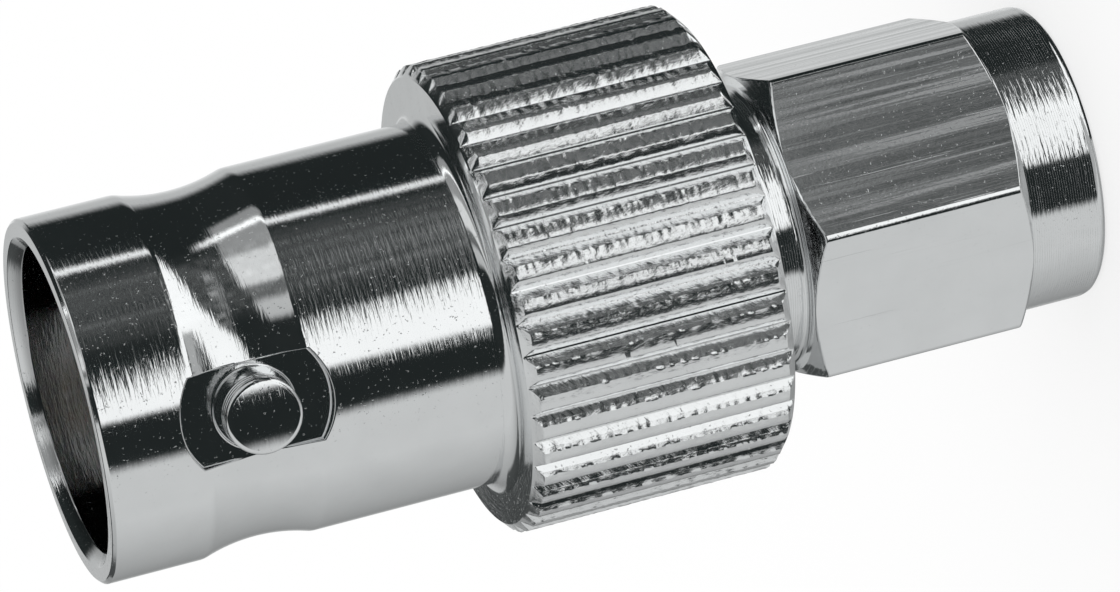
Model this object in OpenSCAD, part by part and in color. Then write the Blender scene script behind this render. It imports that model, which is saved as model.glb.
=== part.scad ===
// Coaxial adapter: a bayonet jack on one end and a threaded plug with a loose hex nut on the other.
// The adapter stands on the rim of its nut, with its axis along Z and the mouth of the jack on top.
// All sizes are in millimetres.

/* [Bayonet jack] */
// Outside diameter of the jack shell
shell_d = 9.65; // [9.4:0.05:10.2]
// Length of the jack shell, from the knurled collar to the mouth
shell_len = 10.8; // [10:0.05:14]
// Inside diameter of the jack shell
shell_bore_d = 8.13; // [7.6:0.01:8.3]
// Depth of the jack shell's bore, from the mouth
socket_depth = 8.4; // [7:0.1:9.5]
// Size of the bevel that leads into the bore
mouth_bevel = 0.3; // [0.1:0.05:0.4]
// Size of the broken outer edge at the mouth
mouth_edge = 0.1; // [0.05:0.01:0.2]
// Length of the plain ring between the mouth and the waist
mouth_ring_len = 2.65; // [1.8:0.05:3]
// Length of the hollow waist round the lugs
waist_len = 2.95; // [2.4:0.05:4]
// Depth of the waist at its middle
waist_depth = 0.24; // [0.1:0.01:0.34]
// Radius of the fillet between the shell and the collar
root_fillet = 0.35; // [0.1:0.05:0.6]

/* [Bayonet lugs] */
// Diameter of a lug
lug_d = 2; // [1.6:0.05:2.2]
// Distance over the tips of the two lugs
lug_span = 11; // [10.8:0.05:11.3]
// Height of a lug above its milled seat
lug_height = 1.1; // [0.9:0.05:1.2]
// Diameter of the seat milled round a lug
lug_seat_d = 4; // [3:0.1:4.6]
// Width of that seat across the shell, between its straight sides
lug_seat_w = 2.46; // [2.2:0.02:3]
// Flare of a lug's foot where it meets the seat
lug_foot = 0.08; // [0.04:0.01:0.15]
// Height at which that flare ends above the seat
lug_foot_h = 0.5; // [0.3:0.05:0.6]
// Size of the broken edge at a lug's tip
lug_edge = 0.12; // [0.05:0.01:0.3]

/* [Knurled collar] */
// Diameter over the teeth
collar_d = 12.5; // [11.5:0.1:14]
// Length of the collar
collar_len = 7.15; // [5.5:0.05:10]
// Number of teeth round the collar
knurl_count = 45; // [30:1:60]
// Depth of a groove between two teeth
knurl_depth = 0.25; // [0.1:0.01:0.32]
// Angle between the two flanks of a groove
knurl_angle = 90; // [70:1:100]
// Height of the bevel that ends the teeth
collar_bevel = 0.27; // [0.1:0.01:0.5]
// Length of the bevel that ends the teeth
collar_bevel_len = 0.25; // [0.15:0.05:1]

/* [Coupling nut] */
// Length of the nut
nut_len = 9.05; // [8.5:0.05:12]
// Width across the flats of the hexagon
nut_af = 8; // [7.6:0.1:9]
// Length of the round rim in front of the hexagon
nut_rim_len = 2.1; // [1:0.1:3]
// Length of the round hub behind the hexagon
nut_hub_len = 0.82; // [0.5:0.02:1.6]
// Wall of the hub outside the ring's lead-in
nut_hub_wall = 0.15; // [0.1:0.05:0.3]
// Radius of the fillet between the hub and the hexagon
nut_hub_fillet = 0.2; // [0.05:0.05:0.25]
// Step from the flats down to the rim
nut_step = 0.05; // [0.02:0.01:0.2]
// Slope of the bevel on the hexagon's corners
nut_corner_angle = 30; // [15:1:40]
// Radius of the rim's round front edge
nut_edge_r = 0.25; // [0.1:0.05:0.4]
// Turn of the loose nut about the axis
nut_turn = 37; // [0:1:59]
// Gap between the nut and the collar
nut_gap = 0.5; // [0.2:0.05:1]
// Free travel of the nut along the axis
nut_play = 0.4; // [0.1:0.05:0.6]

/* [Thread of the nut] */
// Outside diameter of the screw that the nut takes
thread_d = 6.35; // [6.2:0.05:6.5]
// Diameter inside the nut's thread
thread_bore_d = 5.7; // [5.6:0.02:6]
// Length of the threaded stretch
thread_len = 4.2; // [3:0.1:4.4]
// Play between the screw and the bevel that leads into the thread
thread_entry = 0.08; // [0.02:0.02:0.2]

/* [Threaded plug] */
// Depth of the plug's front plane behind the nut's rim
plug_recess = 2.9; // [2:0.1:3.4]
// Outside diameter of the plug's sleeve
sleeve_d = 4.59; // [4.5:0.01:4.7]
// Length of the sleeve in front of the gasket's seat
sleeve_len = 1.9; // [1.5:0.1:2.2]
// Bore of the sleeve and the neck
plug_bore_d = 4.12; // [3.6:0.02:4.2]
// Diameter of the neck that carries the nut
neck_d = 6.2; // [6.1:0.05:6.5]
// Diameter of the spigot pressed into the collar
spigot_d = 6.8; // [6.4:0.1:7.6]
// Size of the broken edge at the front of the sleeve
sleeve_edge = 0.08; // [0.02:0.01:0.15]

/* [Retaining ring] */
// Thickness of the ring along the axis
ring_t = 0.5; // [0.3:0.05:0.7]
// Width of the ring's band
ring_w = 0.6; // [0.5:0.05:0.7]
// Reach of the ring into the neck's groove
ring_bite = 0.25; // [0.15:0.05:0.3]
// Width of the ring's split
ring_split = 1; // [0.5:0.1:2]
// Distance from the front of the neck to the middle of the ring
ring_back = 1.4; // [1.1:0.1:2]

/* [Gasket] */
// Width of the gasket's band, with its clearances
gasket_w = 0.6; // [0.4:0.05:0.7]
// Length of the gasket's seat behind the sleeve
gasket_seat_len = 0.8; // [0.5:0.1:1.2]
// Height of the gasket above the end of its seat
gasket_proud = 0.1; // [0.05:0.05:0.2]

/* [Centre contact] */
// Diameter of the plug's pin
pin_d = 0.92; // [0.8:0.01:1]
// Reach of the pin past the plug's front plane
pin_len = 2; // [1.2:0.1:2.4]
// Length of the pin's tapered tip
pin_tip_len = 0.4; // [0.2:0.05:0.8]
// Diameter of the flat end of the pin
pin_tip_d = 0.4; // [0.2:0.05:0.6]
// Diameter of the rod through the plug
rod_d = 1.27; // [1.1:0.01:1.4]
// Diameter of the collar that holds the contact in place
stop_d = 2.8; // [2.4:0.1:3.6]
// Length of that collar
stop_len = 1.4; // [0.8:0.1:1.8]
// Outside diameter of the jack's socket
socket_d = 2.1; // [2:0.05:2.3]
// Bore of the socket
socket_bore_d = 1.38; // [1.3:0.01:1.5]
// Depth of the socket's bore
socket_bore_depth = 5; // [4.5:0.1:6]
// Width of the slots between the socket's spring tongues
slot_w = 0.2; // [0.1:0.02:0.26]
// Length of those slots
slot_len = 3.8; // [2:0.1:4.2]

/* [Insulators] */
// Diameter of the jack insulator's nose
nose_d = 4.7; // [4:0.05:5]
// Depth of the end of the nose below the mouth
nose_recess = 3.2; // [2:0.1:4]
// Depth of the socket's end below the end of the nose
socket_recess = 0.1; // [0.05:0.05:0.5]
// Thickness of the web that the jack insulator passes through
web_len = 2; // [1:0.1:2.4]
// Length of the jack insulator's flange
jack_flange_len = 2.5; // [2.2:0.1:3]
// Diameter of the plug insulator's flange
plug_flange_d = 4.8; // [4.6:0.1:5.4]
// Length of the plug insulator's flange
plug_flange_len = 2; // [1:0.1:2.6]

/* [Clearances] */
// Radial gap where a piece is pressed home
seat_gap = 0.02; // [0.01:0.01:0.04]
// Radial gap where a piece slips into a bore
slip_gap = 0.05; // [0.02:0.01:0.08]
// Radial gap between the neck and the nut
nut_clear = 0.1; // [0.05:0.01:0.15]
// Radial gap between the ring and the bottom of the nut's groove
ring_clear = 0.1; // [0.05:0.01:0.15]
// Gap on each side of the ring along the axis
ring_side_gap = 0.02; // [0.01:0.01:0.05]

/* [Hidden] */
$fn = 128;
cut = 0.1;
nickel = [0.80, 0.80, 0.78];
gold = [0.86, 0.70, 0.36];
bronze = [0.74, 0.55, 0.34];
white = [0.94, 0.94, 0.92];
silicone = [0.62, 0.24, 0.16];

// Levels along the axis, from the nut's rim up
plug_z = plug_recess;
gasket_z = plug_z + sleeve_len;
neck_z = gasket_z + gasket_seat_len;
ring_z = neck_z + ring_back;
hex_z = nut_rim_len;
hub_z = nut_len - nut_hub_len;
collar_z = nut_len + nut_gap;
shell_z = collar_z + collar_len;
mouth_z = shell_z + shell_len;
floor_z = mouth_z - socket_depth;
web_z = floor_z - web_len;
stack_z = web_z - jack_flange_len;
nose_z = mouth_z - nose_recess;
socket_z = nose_z - socket_recess;
waist_z = mouth_z - mouth_ring_len - waist_len / 2;

// Radii and diameters that follow from the fits
shell_r = shell_d / 2;
collar_r = collar_d / 2;
waist_r = (waist_len * waist_len / 4 + waist_depth * waist_depth) / (2 * waist_depth);
lug_seat_y = lug_span / 2 - lug_height;
lug_root_y = shell_bore_d / 2;
nut_round_r = nut_af / 2 - nut_step;
nut_corner_r = nut_af / 2 / cos(30);
nut_bore_r = neck_d / 2 + nut_clear;
ring_in_r = neck_d / 2 - ring_bite;
ring_out_r = ring_in_r + ring_w;
ring_squeeze = ring_out_r - nut_bore_r;
neck_groove_r = ring_in_r - ring_squeeze - slip_gap;
nut_groove_r = ring_out_r + ring_clear;
nut_hub_r = ring_out_r + nut_hub_wall;
spigot_bore_d = spigot_d + 2 * seat_gap;
gasket_seat_d = max(sleeve_d, neck_d - 2 * gasket_w);

// A round bar along the axis between two levels
module bar(d, from, to) {
    translate([0, 0, from])
        cylinder(d = d, h = to - from);
}

// A bore along the axis that runs a little past both levels
module bore(d, from, to) {
    bar(d, from - cut, to + cut);
}

// A cone along the axis between two levels
module cone(from_d, to_d, from, to) {
    translate([0, 0, from])
        cylinder(d1 = from_d, d2 = to_d, h = to - from);
}

// A bar whose lower edge is rounded
module round_edge_bar(d, edge_r, from, to) {
    translate([0, 0, from])
        rotate_extrude()
            union() {
                square([d / 2 - edge_r, to - from]);
                translate([0, edge_r])
                    square([d / 2, to - from - edge_r]);
                translate([d / 2 - edge_r, edge_r])
                    circle(r = edge_r, $fn = 48);
            }
}

// A ring that fills the corner where a round bar stands on a face
module corner_fillet(bar_r, fillet_r, level) {
    translate([0, 0, level])
        rotate_extrude()
            difference() {
                square([bar_r + fillet_r, fillet_r]);
                translate([bar_r + fillet_r, fillet_r])
                    circle(r = fillet_r, $fn = 64);
            }
}

// The turned outside of the jack, with the hollow waist and the fillet at its root
module shell_outside() {
    difference() {
        union() {
            bar(shell_d, shell_z - cut, mouth_z - mouth_edge);
            cone(shell_d, shell_d - 2 * mouth_edge, mouth_z - mouth_edge, mouth_z);
        }
        rotate_extrude()
            translate([shell_r - waist_depth + waist_r, waist_z])
                circle(r = waist_r);
    }
    corner_fillet(shell_r, root_fillet, shell_z);
}

// One groove of the knurl, a straight V along the collar
module knurl_groove() {
    half_w = (knurl_depth + cut) * tan(knurl_angle / 2);
    translate([0, 0, collar_z - cut])
        linear_extrude(height = collar_len + 2 * cut)
            polygon([
                [collar_r - knurl_depth, 0],
                [collar_r + cut, -half_w],
                [collar_r + cut, half_w]
            ]);
}

// The collar with its straight teeth, which run out on the bevels at both ends
module knurled_collar() {
    end_d = collar_d - 2 * collar_bevel;
    difference() {
        union() {
            cone(end_d, collar_d, collar_z, collar_z + collar_bevel_len);
            bar(collar_d, collar_z + collar_bevel_len, shell_z - collar_bevel_len);
            cone(collar_d, end_d, shell_z - collar_bevel_len, shell_z);
        }
        for (i = [0 : knurl_count - 1])
            rotate(-90 + i * 360 / knurl_count)
                knurl_groove();
    }
}

// The sunk seat round a lug: a disc with two straight sides along the shell
module lug_seat() {
    seat_h = lug_height + cut;
    translate([0, 0, waist_z])
        rotate([90, 0, 0])
            translate([0, 0, lug_seat_y])
                intersection() {
                    cylinder(d = lug_seat_d, h = seat_h);
                    translate([-lug_seat_w / 2, -lug_seat_d, 0])
                        cube([lug_seat_w, 2 * lug_seat_d, seat_h]);
                }
}

// One bayonet lug with a flared foot, rooted in the wall of the shell, its tip turned to the lugs' span
module lug() {
    tip_y = lug_span / 2;
    intersection() {
        translate([0, 0, waist_z])
            rotate([90, 0, 0]) {
                translate([0, 0, lug_root_y])
                    cylinder(d = lug_d, h = tip_y - lug_edge - lug_root_y);
                translate([0, 0, lug_seat_y])
                    cylinder(d1 = lug_d + 2 * lug_foot, d2 = lug_d, h = lug_foot_h);
                translate([0, 0, tip_y - lug_edge])
                    cylinder(d1 = lug_d, d2 = lug_d - 2 * lug_edge, h = lug_edge);
            }
        bar(lug_span, waist_z - lug_d, waist_z + lug_d);
    }
}

// Jack shell, lugs and knurled collar, turned and milled from one bar
module jack_body() {
    color(nickel)
        difference() {
            union() {
                difference() {
                    union() {
                        shell_outside();
                        knurled_collar();
                    }
                    for (side = [0, 180])
                        rotate(side)
                            lug_seat();
                }
                for (side = [0, 180])
                    rotate(side)
                        lug();
            }
            bar(shell_bore_d, floor_z, mouth_z + cut);
            cone(shell_bore_d, shell_bore_d + 2 * mouth_bevel + 2 * cut,
                 mouth_z - mouth_bevel, mouth_z + cut);
            bore(nose_d + 2 * slip_gap, web_z, floor_z);
            bar(spigot_bore_d, collar_z - cut, web_z);
        }
}

// Sleeve, gasket seat, neck and spigot of the plug, pressed into the collar
module plug_body() {
    groove_z = ring_z - ring_t / 2 - ring_side_gap - nut_play;
    groove_top_z = ring_z + ring_t / 2 + ring_side_gap;
    color(nickel)
        difference() {
            union() {
                cone(sleeve_d - 2 * sleeve_edge, sleeve_d, plug_z, plug_z + sleeve_edge);
                bar(sleeve_d, plug_z + sleeve_edge, gasket_z + cut);
                bar(gasket_seat_d, gasket_z, neck_z + cut);
                bar(neck_d, neck_z, collar_z + cut);
                bar(spigot_d, collar_z, stack_z);
            }
            difference() {
                bar(neck_d + 2 * cut, groove_z, groove_top_z);
                bore(2 * neck_groove_r, groove_z, groove_top_z);
            }
            bore(plug_bore_d, plug_z, stack_z);
            bar(plug_flange_d + 2 * slip_gap, stack_z - plug_flange_len, stack_z + cut);
        }
}

// White insulator of the jack, with a nose round the socket and a flange behind the web
module jack_insulator() {
    color(white)
        difference() {
            union() {
                bar(spigot_bore_d - 2 * slip_gap, stack_z, web_z);
                bar(nose_d, web_z - cut, nose_z);
            }
            bore(socket_d + 2 * slip_gap, stack_z, nose_z);
            bar(stop_d + 2 * slip_gap, stack_z - cut, stack_z + stop_len);
        }
}

// White insulator of the plug, flush with the sleeve in front and flanged behind
module plug_insulator() {
    color(white)
        difference() {
            union() {
                bar(plug_bore_d - 2 * seat_gap, plug_z, stack_z);
                bar(plug_flange_d, stack_z - plug_flange_len, stack_z);
            }
            bore(rod_d + 2 * slip_gap, plug_z, stack_z);
        }
}

// Contact in one piece: a pin in the plug, a rod, a stop collar and a slotted socket in the jack
module centre_contact() {
    tip_z = plug_z - pin_len;
    color(gold)
        difference() {
            union() {
                cone(pin_tip_d, pin_d, tip_z, tip_z + pin_tip_len);
                bar(pin_d, tip_z + pin_tip_len, plug_z);
                bar(rod_d, plug_z, stack_z + cut);
                bar(stop_d, stack_z, stack_z + stop_len);
                bar(socket_d, stack_z + stop_len - cut, socket_z);
            }
            bar(socket_bore_d, socket_z - socket_bore_depth, socket_z + cut);
            for (turn = [0, 90])
                rotate(turn)
                    translate([-socket_d, -slot_w / 2, socket_z - slot_len])
                        cube([2 * socket_d, slot_w, slot_len + cut]);
        }
}

// Outside of the nut: rim, bevelled hexagon and hub
module nut_outside() {
    reach_r = nut_corner_r + cut;
    bevel_len = (reach_r - nut_af / 2) * tan(nut_corner_angle);
    round_edge_bar(2 * nut_round_r, nut_edge_r, 0, hex_z + cut);
    intersection() {
        rotate(nut_turn)
            translate([0, 0, hex_z])
                cylinder(r = nut_corner_r, h = hub_z - hex_z, $fn = 6);
        rotate_extrude()
            polygon([
                [0, hex_z],
                [nut_af / 2, hex_z],
                [reach_r, hex_z + bevel_len],
                [reach_r, hub_z - bevel_len],
                [nut_af / 2, hub_z],
                [0, hub_z]
            ]);
    }
    bar(2 * nut_hub_r, hub_z - cut, nut_len);
    corner_fillet(nut_hub_r, nut_hub_fillet, hub_z);
}

// Loose hex nut with a threaded front, a plain bore behind it and a groove for the ring
module coupling_nut() {
    entry_d = thread_d + 2 * thread_entry;
    entry_len = (entry_d - thread_bore_d) / 2;
    lead_d = 2 * ring_out_r;
    lead_len = ring_out_r - nut_bore_r;
    color(nickel)
        difference() {
            nut_outside();
            bore(thread_bore_d, 0, thread_len);
            cone(entry_d + 2 * cut, thread_bore_d, -cut, entry_len);
            bar(2 * nut_bore_r, thread_len, nut_len + cut);
            cone(2 * nut_bore_r, lead_d + 2 * cut, nut_len - lead_len, nut_len + cut);
            bar(2 * nut_groove_r, ring_z - ring_t / 2 - ring_side_gap, ring_z + ring_t / 2 + ring_side_gap);
        }
}

// Split spring ring that sits in the nut's groove and rides in the neck's groove
module retaining_ring() {
    color(bronze)
        difference() {
            bar(2 * ring_out_r, ring_z - ring_t / 2, ring_z + ring_t / 2);
            bore(2 * ring_in_r, ring_z - ring_t / 2, ring_z + ring_t / 2);
            translate([0, -ring_split / 2, ring_z - ring_t / 2 - cut])
                cube([ring_out_r + cut, ring_split, ring_t + 2 * cut]);
        }
}

// Soft sealing ring on its seat, against the front of the neck
module gasket() {
    front_z = gasket_z - gasket_proud;
    color(silicone)
        difference() {
            bar(neck_d - 2 * slip_gap, front_z, neck_z);
            bore(gasket_seat_d + 2 * seat_gap, front_z, neck_z);
        }
}

jack_body();
plug_body();
jack_insulator();
plug_insulator();
centre_contact();
coupling_nut();
retaining_ring();
gasket();
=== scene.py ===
import math

import bmesh
import bpy
import numpy as np
from mathutils import Matrix, Vector


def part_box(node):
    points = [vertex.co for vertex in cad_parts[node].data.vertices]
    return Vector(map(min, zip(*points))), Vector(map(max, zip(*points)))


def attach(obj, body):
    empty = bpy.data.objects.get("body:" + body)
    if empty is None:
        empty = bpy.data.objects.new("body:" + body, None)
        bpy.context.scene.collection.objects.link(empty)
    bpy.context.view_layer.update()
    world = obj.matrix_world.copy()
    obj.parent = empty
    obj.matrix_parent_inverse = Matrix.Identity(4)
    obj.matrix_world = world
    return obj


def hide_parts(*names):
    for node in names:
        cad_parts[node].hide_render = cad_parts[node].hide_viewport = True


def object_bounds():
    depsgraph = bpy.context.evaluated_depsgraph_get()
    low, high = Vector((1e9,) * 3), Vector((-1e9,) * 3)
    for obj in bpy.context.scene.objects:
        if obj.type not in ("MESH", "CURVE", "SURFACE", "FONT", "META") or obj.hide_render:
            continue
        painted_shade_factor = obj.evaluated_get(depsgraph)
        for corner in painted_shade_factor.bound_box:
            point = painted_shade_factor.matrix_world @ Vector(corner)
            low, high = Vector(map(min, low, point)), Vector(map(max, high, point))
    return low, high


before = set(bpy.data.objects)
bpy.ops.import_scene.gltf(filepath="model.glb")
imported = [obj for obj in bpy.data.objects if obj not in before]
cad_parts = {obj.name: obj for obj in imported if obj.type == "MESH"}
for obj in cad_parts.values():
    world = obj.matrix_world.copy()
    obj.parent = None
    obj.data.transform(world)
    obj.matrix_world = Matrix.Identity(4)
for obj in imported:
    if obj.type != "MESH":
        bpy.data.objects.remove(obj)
cad_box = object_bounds()

# Units and steps of the meshes
MM = 0.001
WELD = 0.0004
SHARP = math.radians(35)
EDGE_STEPS = 3
SHELL_SIDES = 180
TURNED_SIDES = 160
CONTACT_SIDES = 64
LUG_SIDES = 120
SEAT_TRIES = 400

# Levels along the axis that the frame gives, in millimetres
COLLAR_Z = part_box("jack_body")[0].z / MM
MOUTH_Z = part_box("jack_body")[1].z / MM
NUT_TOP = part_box("coupling_nut")[1].z / MM
PLUG_Z, STACK_Z = (end.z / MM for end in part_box("plug_body"))
NOSE_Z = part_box("jack_insulator")[1].z / MM
PIN_Z, SOCKET_Z = (end.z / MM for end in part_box("centre_contact"))
GASKET_Z, NECK_Z = (end.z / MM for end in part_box("gasket"))

# Jack shell, in millimetres
SHELL_R = 4.825
SHELL_BORE_R = 4.065
COLLAR_TOP = COLLAR_Z + 7.15
SOCKET_FLOOR = MOUTH_Z - 8.4
WEB_Z = SOCKET_FLOOR - 2.0
WEB_HOLE_R = 2.4
SPIGOT_BORE_R = 3.42
WAIST_Z = MOUTH_Z - 4.125
WAIST_HALF = 1.475
WAIST_DEPTH = 0.24
WAIST_R = (WAIST_HALF**2 + WAIST_DEPTH**2) / (2 * WAIST_DEPTH)
WAIST_CENTRE_R = SHELL_R - WAIST_DEPTH + WAIST_R
SHOULDER_R = 0.6
SHOULDER_END = math.sqrt(WAIST_DEPTH * (2 * (WAIST_R + SHOULDER_R) - WAIST_DEPTH))
SHOULDER_START = SHOULDER_END * WAIST_R / (WAIST_R + SHOULDER_R)
OUTSIDE_SPAN = 2.6
ROOT_FILLET = 0.35
MOUTH_BEVEL = 0.3
MOUTH_EDGE = 0.1
TURN_EDGE = 0.03

# Lugs and the seats milled round them
LUG_TIP = 5.5
LUG_R = 1.0
LUG_EDGE = 0.12
LUG_FOOT = 0.08
LUG_FOOT_H = 0.5
LUG_FILLET = 0.05
LUG_RIDGES = (0.6, 0.74, 0.88)
RIDGE_DEPTH = 0.03
RIDGE_HALF = 0.05
SEAT_R = 2.0
SEAT_HALF = 1.23
SEAT_Y = LUG_TIP - 1.1
SEAT_EDGE = 0.05
SEAT_BORDER = 0.06
SEAT_GAP = 0.02

# Knurled collar
COLLAR_R = 6.25
KNURL_COUNT = 45
KNURL_DEPTH = 0.25
KNURL_START = math.radians(-90)
COLLAR_BEVEL = 0.27
COLLAR_BEVEL_LEN = 0.25
COLLAR_FACE_R = COLLAR_R - COLLAR_BEVEL - 0.15
KNURL_ROOT_HALF = 0.02
KNURL_END_HALF = 0.06
KNURL_ROWS = 130
BEVEL_ROWS = 12
KNURL_LIP = 0.022
TORN_EDGE = 0.06
TEAR = 0.022
TEAR_LENGTH = 0.14
TEAR_SEED = 4.0

# Coupling nut
NUT_HALF = 4.0
NUT_ROUND_R = 3.95
NUT_CHAMFER_R = 3.975
NUT_CORNER = math.radians(37)
NUT_CORNER_EDGE = 0.3
NUT_CORNER_POINTS = 6
NUT_FLAT_POINTS = 22
NUT_ARC_EDGE = 0.09
NUT_BEVEL = math.tan(math.radians(30))
RIM_Z = 2.1
HUB_Z = NUT_TOP - 0.82
HUB_R = 3.6
HUB_FILLET = 0.2
RIM_EDGE = 0.25
NUT_BORE_R = 3.2
NUT_GROOVE_R = 3.55
NUT_GROOVE = (6.73, 7.27)
NUT_LEAD_R = 3.45
NUT_ENTRY_R = 3.255
THREAD_PITCH = 25.4 / 36
THREAD_DEPTH = 0.35
THREAD_HALF = 0.265
THREAD_SPAN = (0.45, 4.05)
THREAD_STEPS = 96

# Plug, contact and soft pieces
SLEEVE_R = 2.295
SLEEVE_EDGE = 0.08
SLEEVE_TOP = 4.8
PLUG_BORE_R = 2.06
GASKET_SEAT_R = 2.5
NECK_R = 3.1
NECK_GROOVE_R = 2.55
NECK_GROOVE = (6.33, 7.27)
SPIGOT_R = 3.4
FLANGE_Z = STACK_Z - 2.0
FLANGE_BORE_R = 2.45
PIN_R = 0.46
PIN_TIP_R = 0.2
PIN_TIP_LEN = 0.4
ROD_R = 0.635
STOP_R = 1.4
STOP_TOP = STACK_Z + 1.4
SOCKET_R = 1.05
SOCKET_BORE_R = 0.69
SOCKET_BORE_Z = SOCKET_Z - 5.0
SLOT_HALF = 0.1
TONGUES = 4
TONGUE_POINTS = 9
SLOT_Z = SOCKET_Z - 3.8

# Camera, from the fit to the photograph's edges
CAMERA_TURN = math.radians(-72.5)
CAMERA_PLACE = Vector((54.13, -171.67, 58.33)) * MM
CAMERA_AIM = Vector((-0.516, -0.164, 13.948)) * MM
CAMERA_ROLL = math.radians(-104.33)
CAMERA_LENS = 228.65

# Floor and studio; heights are in degrees over the horizon, azimuths in degrees from the camera
FLOOR_HALF = 500.0
FLOOR_GAP = 0.02
FLOOR_GLOW = 0.7
STUDIO_DARK = 0.02
SHELL_DIP = 11.0


class Wire:
    """One output socket, with arithmetic that adds Math nodes."""

    def __init__(self, graph, node, out=0):
        self.graph = graph
        self.node = node
        self.socket = node.outputs[out] if len(node.outputs) else None

    def out(self, name):
        return Wire(self.graph, self.node, name)

    def __add__(self, other):
        return self.graph.math("ADD", self, other)

    def __radd__(self, other):
        return self.graph.math("ADD", other, self)

    def __sub__(self, other):
        return self.graph.math("SUBTRACT", self, other)

    def __rsub__(self, other):
        return self.graph.math("SUBTRACT", other, self)

    def __mul__(self, other):
        return self.graph.math("MULTIPLY", self, other)

    def __rmul__(self, other):
        return self.graph.math("MULTIPLY", other, self)

    def __truediv__(self, other):
        return self.graph.math("DIVIDE", self, other)

    def __rtruediv__(self, other):
        return self.graph.math("DIVIDE", other, self)

    def __gt__(self, other):
        return self.graph.math("GREATER_THAN", self, other)


class Graph:
    """A node tree that is filled by calls."""

    def __init__(self, tree):
        self.tree = tree
        tree.nodes.clear()

    def node(self, kind, settings=None, sockets=None, out=0):
        """Adds a node with its settings, and the values or links of its sockets."""
        made = self.tree.nodes.new(kind)
        for name, value in (settings or {}).items():
            setattr(made, name, value)
        for name, value in (sockets or {}).items():
            if isinstance(value, Wire):
                self.tree.links.new(value.socket, made.inputs[name])
            else:
                made.inputs[name].default_value = value
        return Wire(self, made, out)

    def math(self, operation, *values):
        return self.node("ShaderNodeMath", {"operation": operation}, dict(enumerate(values)))

    def most(self, first, second):
        return self.math("MAXIMUM", first, second)

    def least(self, first, second):
        return self.math("MINIMUM", first, second)

    def smooth(self, value, start, end):
        """0 before start and 1 after end, with a soft step between them."""
        span = {"Value": value, "From Min": start, "From Max": end}
        return self.node("ShaderNodeMapRange", {"interpolation_type": "SMOOTHSTEP"}, span)

    def fall(self, value, start, end):
        """1 before start and 0 after end, with a soft step between them."""
        return 1.0 - self.smooth(value, start, end)

    def band(self, value, start, end, soft):
        """1 between start and end, with a soft step at each."""
        return self.smooth(value, start - soft, start + soft) * self.fall(value, end - soft, end + soft)

    def vector(self, x=0.0, y=0.0, z=0.0):
        return self.node("ShaderNodeCombineXYZ", sockets={"X": x, "Y": y, "Z": z})


def blank_material(name):
    made = bpy.data.materials.new(name)
    made.use_nodes = True
    return made, Graph(made.node_tree)


def finish_material(graph, **sockets):
    """Ends a material in one Principled shader."""
    named = {name.replace("_", " "): value for name, value in sockets.items()}
    shader = graph.node("ShaderNodeBsdfPrincipled", sockets=named)
    graph.node("ShaderNodeOutputMaterial", sockets={"Surface": shader})


def place_in_mm(graph):
    """Object coordinates in millimetres, and the distance from the axis."""
    place = graph.node("ShaderNodeTexCoord", out="Object")
    parts = graph.node("ShaderNodeSeparateXYZ", sockets={0: place})
    x, y, z = (parts.out(axis) / MM for axis in "XYZ")
    return x, y, z, graph.math("SQRT", x * x + y * y)


def noise(graph, vector, detail=2.0):
    given = {"Vector": vector, "Scale": 1.0, "Detail": detail}
    return graph.node("ShaderNodeTexNoise", sockets=given, out="Fac")


def bump(graph, height, depth):
    """Normals of a relief, whose height of 1 is a depth in microns."""
    given = {"Strength": 1.0, "Distance": depth * 0.001 * MM, "Height": height}
    return graph.node("ShaderNodeBump", sockets=given)


def two_tones(graph, share, first, second):
    """A colour between two, by a share."""
    given = {0: share, 6: (*first, 1), 7: (*second, 1)}
    return graph.node("ShaderNodeMix", {"data_type": "RGBA"}, given, out=2)


def turning_marks(g, x, y, z, r):
    """Fine and broad rings that a lathe leaves, in microns; they break off along the turn."""
    fine = g.vector(x / r * 9.0, y / r * 9.0, (z + r) * 15.0)
    broad = g.vector(x / r * 4.0, y / r * 4.0, (z + r) * 5.0)
    return noise(g, fine, detail=3.0) * 2.4 + noise(g, broad) * 2.2


def torn_marks(g, x, y, z):
    """Metal torn by the knurling wheel, in microns, in short streaks along the teeth."""
    return noise(g, g.vector(x * 14.0, y * 14.0, z * 7.0), detail=3.0) * 7.0


def milled_marks(g, x, y, z):
    """Streaks, waves and scratches of a cutter that runs along the axis, in microns."""
    streaks = noise(g, g.vector(x * 2.6, y * 2.6, z * 0.08), detail=3.0) * 12.0
    waves = noise(g, g.vector(x * 1.1, y * 1.1, z * 0.04)) * 70.0
    grain = noise(g, g.vector(x * 14.0, y * 14.0, z * 9.0)) * 1.0
    scratches = g.smooth(noise(g, g.vector(x * 5.0, y * 5.0, z * 0.1)), 0.64, 0.68) * 2.0
    return streaks + waves + grain + scratches


def feed_marks(g, x, y, z, r):
    """Slanting steps of a lathe tool's feed, in microns; no two steps are alike."""
    feed, rise = 0.065, 7.2
    waver = noise(g, g.vector(x / r * 5.0, y / r * 5.0, z * 12.0)) * 0.9
    return g.math("FRACT", z / feed + waver) * rise


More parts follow.
